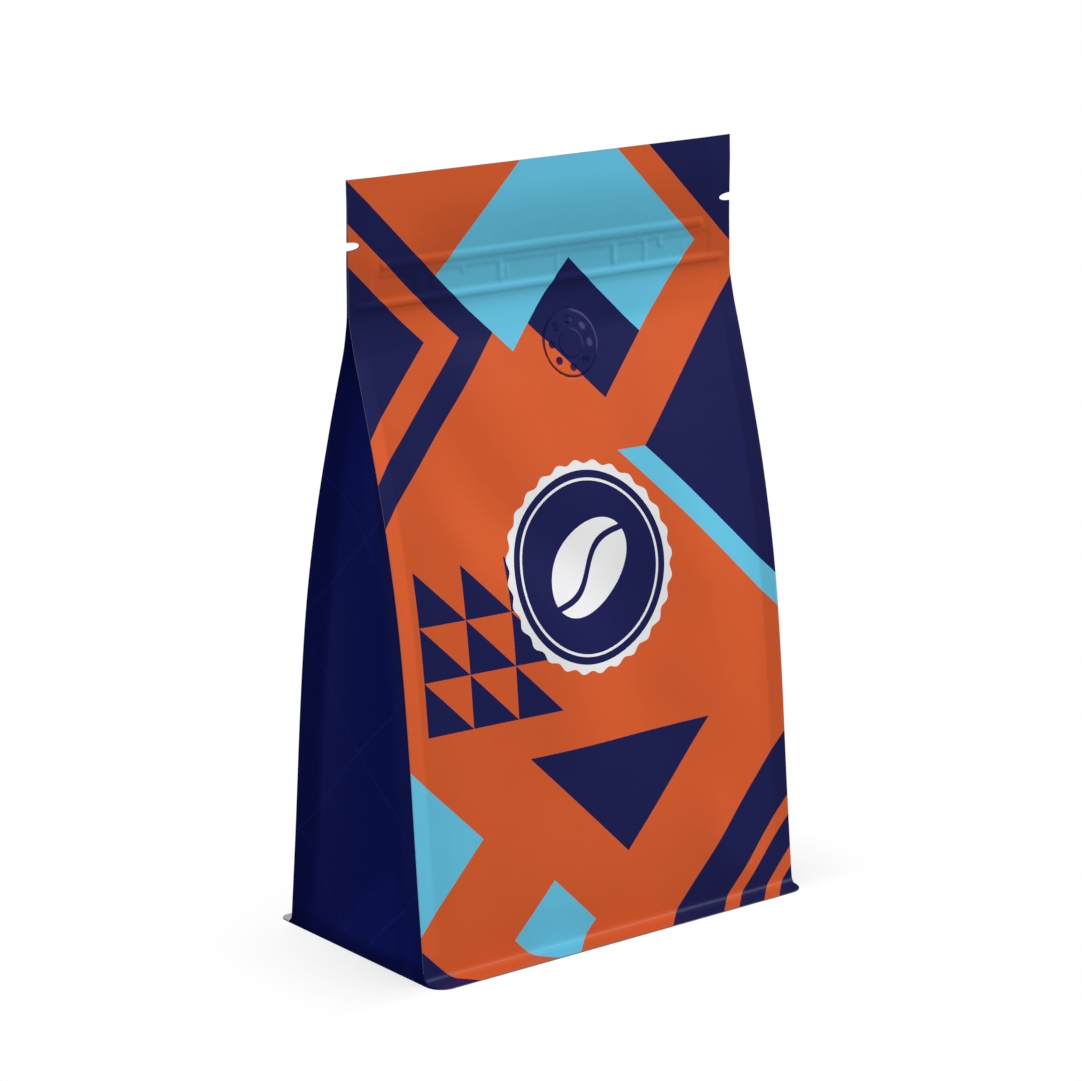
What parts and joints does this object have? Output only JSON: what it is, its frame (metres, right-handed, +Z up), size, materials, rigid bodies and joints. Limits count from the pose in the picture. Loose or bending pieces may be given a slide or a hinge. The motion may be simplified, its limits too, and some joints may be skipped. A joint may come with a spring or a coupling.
{
  "type": "flat-bottom pouch",
  "caption": "Shut flat-bottom film pouch that stands by itself, with side gussets, a press-to-close zipper band, tear notches and a degassing valve.",
  "frame": {"origin": "on the floor, under the middle of the pouch's bounding box", "axes": "+Z up towards the sealed top edge, -Y towards the printed front, +X to the right as seen from the front"},
  "size_m": [0.1428, 0.079, 0.226],
  "materials": {
    "printed_film": "satin printed film",
    "valve_face": "satin, film over moulded plastic"
  },
  "bodies": {
    "root": {"pouch": "printed_film", "degassing_valve": "valve_face"}
  },
  "joints": []
}
